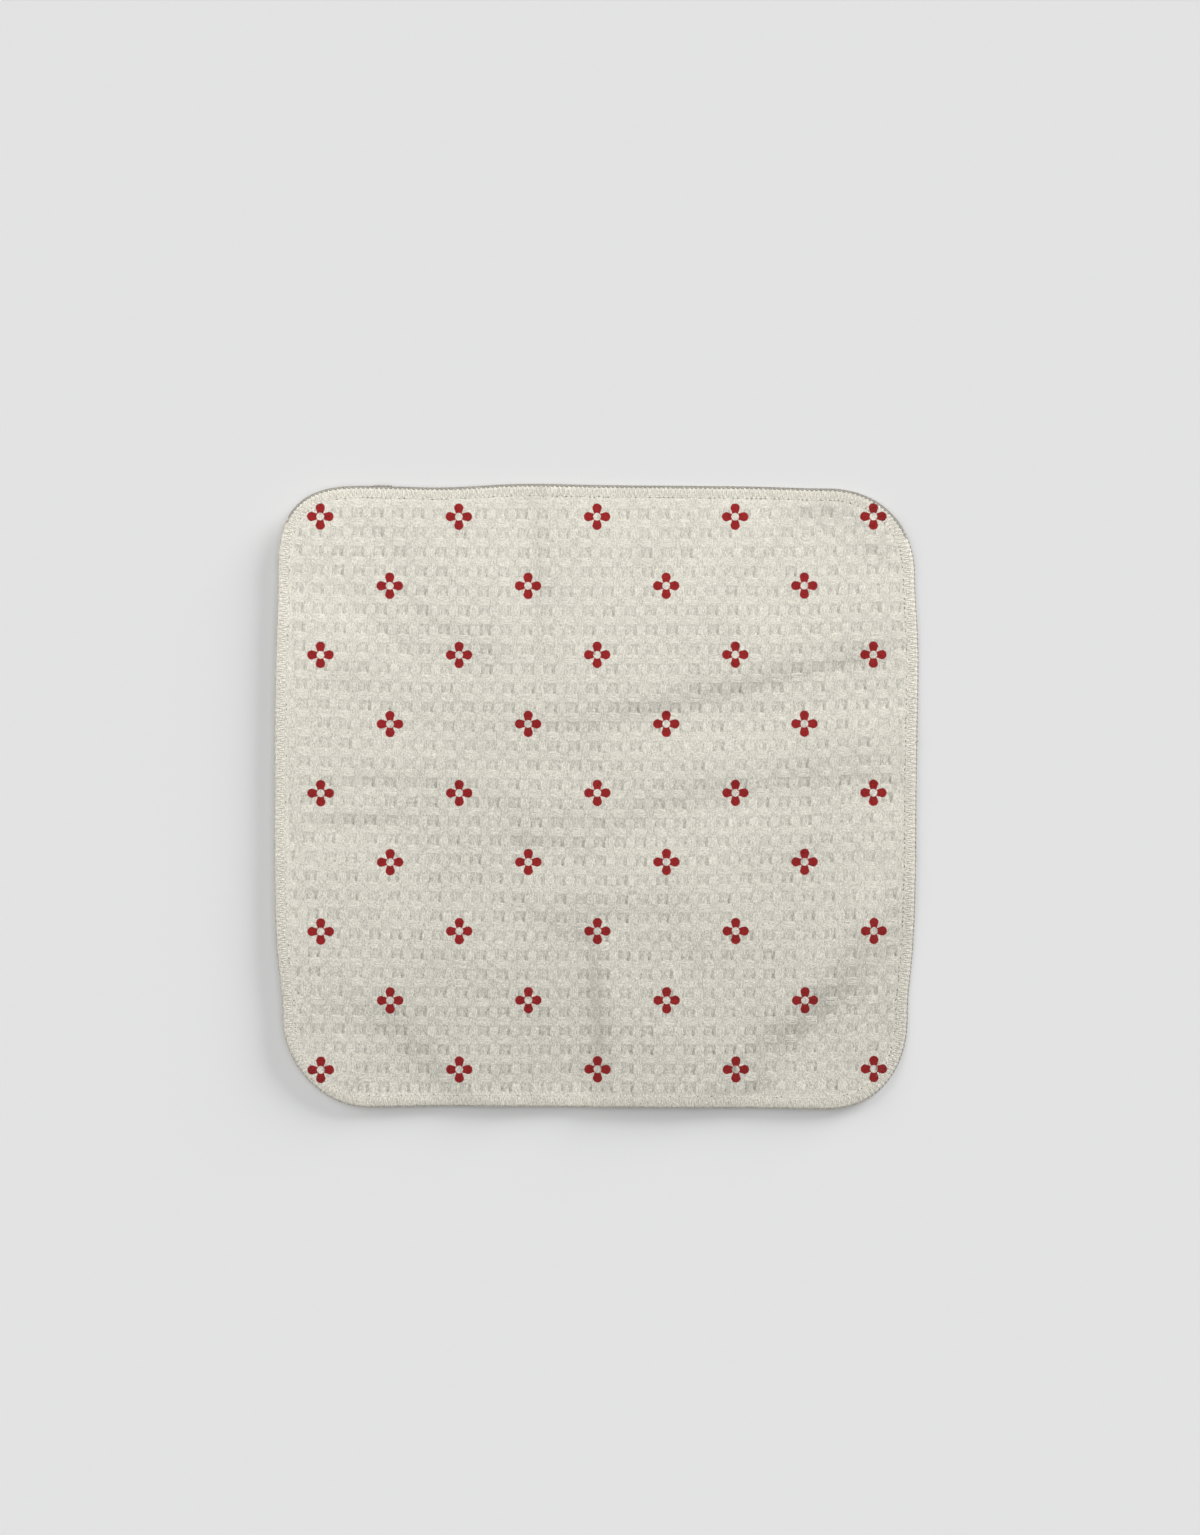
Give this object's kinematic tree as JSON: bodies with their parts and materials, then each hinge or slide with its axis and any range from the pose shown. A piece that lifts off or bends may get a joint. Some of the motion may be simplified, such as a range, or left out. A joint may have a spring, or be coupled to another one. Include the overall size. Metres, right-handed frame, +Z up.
{
  "type": "dishcloth",
  "caption": "Square waffle-weave dishcloth with rounded corners and a small red flower print, lying loosely open with soft creases",
  "frame": {"origin": "centre of the cloth's bounding box on the surface it lies on, bottom at z = 0", "axes": "+Z up, through the cloth's thickness; +X across its slightly longer side, to the right as seen from above in the picture; +Y towards its top edge there"},
  "size_m": [0.3051, 0.2962, 0.0098],
  "materials": {
    "cloth": "matte off-white cotton waffle weave with a small dark red flower print, overlocked edge"
  },
  "bodies": {
    "root": {"cloth": "cloth"}
  },
  "joints": []
}
